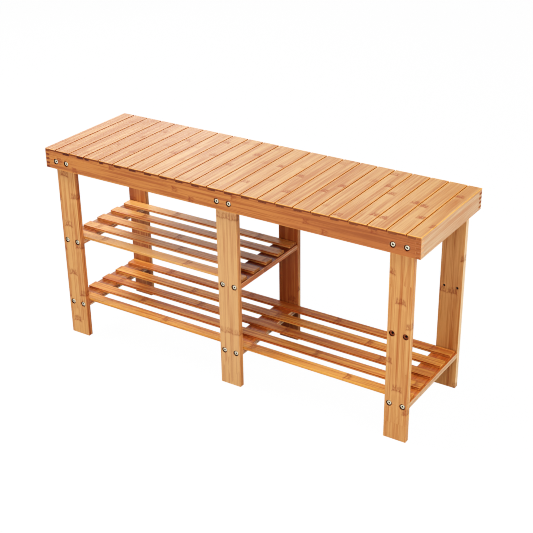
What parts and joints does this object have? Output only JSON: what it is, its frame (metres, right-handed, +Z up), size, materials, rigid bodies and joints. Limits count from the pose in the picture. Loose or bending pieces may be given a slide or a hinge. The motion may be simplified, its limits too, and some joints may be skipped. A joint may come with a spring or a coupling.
{
  "type": "entryway bench",
  "caption": "Slatted bamboo entryway bench with flat legs, a full-length shoe shelf below and a half-length shelf above it.",
  "frame": {"origin": "on the floor, under the middle of the seat", "axes": "+X along the bench, away from the half shelf; +Y from the front to the back; +Z up"},
  "size_m": [0.9, 0.272, 0.455],
  "materials": {
    "seat_bamboo": "satin lacquer",
    "apron_bamboo": "satin lacquer",
    "leg_bamboo": "satin lacquer",
    "shelf_bamboo": "satin lacquer",
    "screw_steel": "zinc plated"
  },
  "bodies": {
    "root": {"seat_slat_01": "seat_bamboo", "seat_slat_02": "seat_bamboo", "seat_slat_03": "seat_bamboo", "seat_slat_04": "seat_bamboo", "seat_slat_05": "seat_bamboo", "seat_slat_06": "seat_bamboo", "seat_slat_07": "seat_bamboo", "seat_slat_08": "seat_bamboo", "seat_slat_09": "seat_bamboo", "seat_slat_10": "seat_bamboo", "seat_slat_11": "seat_bamboo", "seat_slat_12": "seat_bamboo", "seat_slat_13": "seat_bamboo", "seat_slat_14": "seat_bamboo", "seat_slat_15": "seat_bamboo", "seat_slat_16": "seat_bamboo", "seat_slat_17": "seat_bamboo", "seat_slat_18": "seat_bamboo", "seat_slat_19": "seat_bamboo", "seat_slat_20": "seat_bamboo", "seat_slat_21": "seat_bamboo", "seat_slat_22": "seat_bamboo", "seat_slat_23": "seat_bamboo", "front_rail": "apron_bamboo", "back_rail": "apron_bamboo", "left_end_rail": "apron_bamboo", "right_end_rail": "apron_bamboo", "front_left_leg": "leg_bamboo", "front_middle_leg": "leg_bamboo", "front_right_leg": "leg_bamboo", "back_left_leg": "leg_bamboo", "back_middle_leg": "leg_bamboo", "back_right_leg": "leg_bamboo", "lower_left_crossbar": "shelf_bamboo", "lower_middle_crossbar": "shelf_bamboo", "lower_right_crossbar": "shelf_bamboo", "upper_left_crossbar": "shelf_bamboo", "upper_middle_crossbar": "shelf_bamboo", "lower_shelf_slat_1": "shelf_bamboo", "lower_shelf_slat_2": "shelf_bamboo", "lower_shelf_slat_3": "shelf_bamboo", "lower_shelf_slat_4": "shelf_bamboo", "lower_shelf_slat_5": "shelf_bamboo", "upper_shelf_slat_1": "shelf_bamboo", "upper_shelf_slat_2": "shelf_bamboo", "upper_shelf_slat_3": "shelf_bamboo", "upper_shelf_slat_4": "shelf_bamboo", "upper_shelf_slat_5": "shelf_bamboo", "rail_screws": "screw_steel", "lower_shelf_screws": "screw_steel", "upper_shelf_screws": "screw_steel"}
  },
  "joints": []
}
